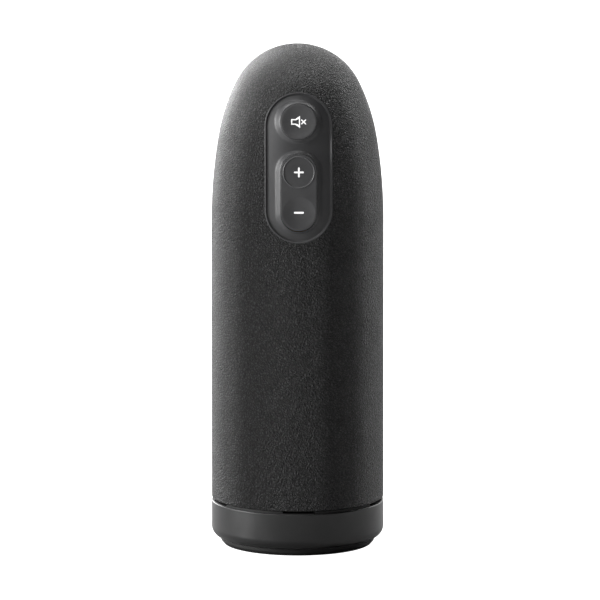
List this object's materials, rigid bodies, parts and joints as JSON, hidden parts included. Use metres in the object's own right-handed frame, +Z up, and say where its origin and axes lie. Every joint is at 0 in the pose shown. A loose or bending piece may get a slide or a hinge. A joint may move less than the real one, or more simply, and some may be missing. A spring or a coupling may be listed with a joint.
{
  "type": "conference speakerphone",
  "caption": "Tall capsule-shaped tabletop speakerphone with a grained leather covering, a recessed key panel with a mute key and a volume rocker, and a smooth base ring.",
  "frame": {"origin": "on the table, under the middle of the foot", "axes": "+Z up along the capsule, -Y towards the person at the key panel, +X to the right of that person"},
  "size_m": [0.09, 0.09, 0.2646],
  "materials": {
    "leather": "fine pebble grain, soft sheen",
    "panel_plastic": "satin",
    "key_plastic": "satin",
    "icon_white": "satin",
    "base_plastic": "satin",
    "ring_plastic": "matte",
    "foot_rubber": "matte",
    "shell_plastic": "moulded, matte",
    "screw_steel": "zinc plated",
    "ballast_steel": "phosphated",
    "silicone": "translucent matte",
    "circuit_board": "solder mask",
    "chip_black": "moulded",
    "basket_steel": "powder coat",
    "pole_steel": "plated",
    "ferrite": "sintered",
    "copper": "enamelled wire",
    "cone_paper": "pressed fibre",
    "spider_cloth": "resin-dipped weave",
    "soft_rubber": "matte",
    "cable_jacket": "smooth",
    "ribbon_film": "film",
    "aluminium": "extruded",
    "socket_steel": "drawn"
  },
  "bodies": {
    "casing": {"leather_skin": "leather", "shell_dome": "shell_plastic", "shell_tube": "shell_plastic", "base_ring": "base_plastic", "base_plate": "shell_plastic", "rubber_foot": "foot_rubber", "ballast_weight": "ballast_steel", "base_screws": "screw_steel", "slot_ring": "ring_plastic", "control_panel": "panel_plastic", "rocker_pin": "screw_steel", "mute_dome": "silicone", "plus_dome": "silicone", "minus_dome": "silicone", "key_board": "circuit_board", "key_board_screws": "screw_steel", "speaker_baffle": "shell_plastic", "speaker_basket": "basket_steel", "speaker_top_plate": "pole_steel", "speaker_magnet": "ferrite", "speaker_yoke": "pole_steel", "speaker_surround": "soft_rubber", "speaker_spider": "spider_cloth", "speaker_gasket": "soft_rubber", "speaker_screws": "screw_steel", "speaker_chamber": "shell_plastic", "sound_diffuser": "shell_plastic", "mic_board": "circuit_board", "microphones": "chip_black", "mic_gasket": "soft_rubber", "speaker_lead": "cable_jacket", "power_lead": "cable_jacket", "board_frame": "shell_plastic", "frame_screws": "screw_steel", "main_board": "circuit_board", "main_board_screws": "screw_steel", "board_chips": "chip_black", "heat_spreader": "aluminium", "key_ribbon": "ribbon_film", "port_plate": "base_plastic", "usb_shell": "socket_steel", "usb_tongue": "chip_black", "port_board": "circuit_board", "power_switch": "chip_black", "power_dome": "silicone"},
    "mute": {"mute_key": "key_plastic", "mute_icon": "icon_white"},
    "rocker": {"volume_rocker": "key_plastic", "plus_icon": "icon_white", "minus_icon": "icon_white"},
    "power": {"power_key": "key_plastic"},
    "cone": {"speaker_cone": "cone_paper", "dust_cap": "cone_paper", "voice_coil": "copper"}
  },
  "joints": [
    {"name": "mute_press", "type": "slide", "parent": "casing", "child": "mute", "axis": [0, 0.9537, -0.3007], "range_m": [0, 0.0006], "stiffness_N_per_m": 2500, "springref_m": -0.0002, "deforming": ["mute_dome"]},
    {"name": "volume_rock", "type": "hinge", "parent": "casing", "child": "rocker", "pos_m": [0, -0.03911, 0.19325], "axis": [1, 0, 0], "range_deg": [-2, 2], "stiffness_Nm_per_rad": 0.36, "deforming": ["plus_dome", "minus_dome"]},
    {"name": "power_press", "type": "slide", "parent": "casing", "child": "power", "axis": [0, -1, 0], "range_m": [0, 0.0005], "stiffness_N_per_m": 3000, "springref_m": -0.0002, "deforming": ["power_dome"]},
    {"name": "cone_stroke", "type": "slide", "parent": "casing", "child": "cone", "axis": [0, 0, 1], "range_m": [-0.002, 0.002], "stiffness_N_per_m": 2000, "deforming": ["speaker_surround", "speaker_spider"]}
  ]
}
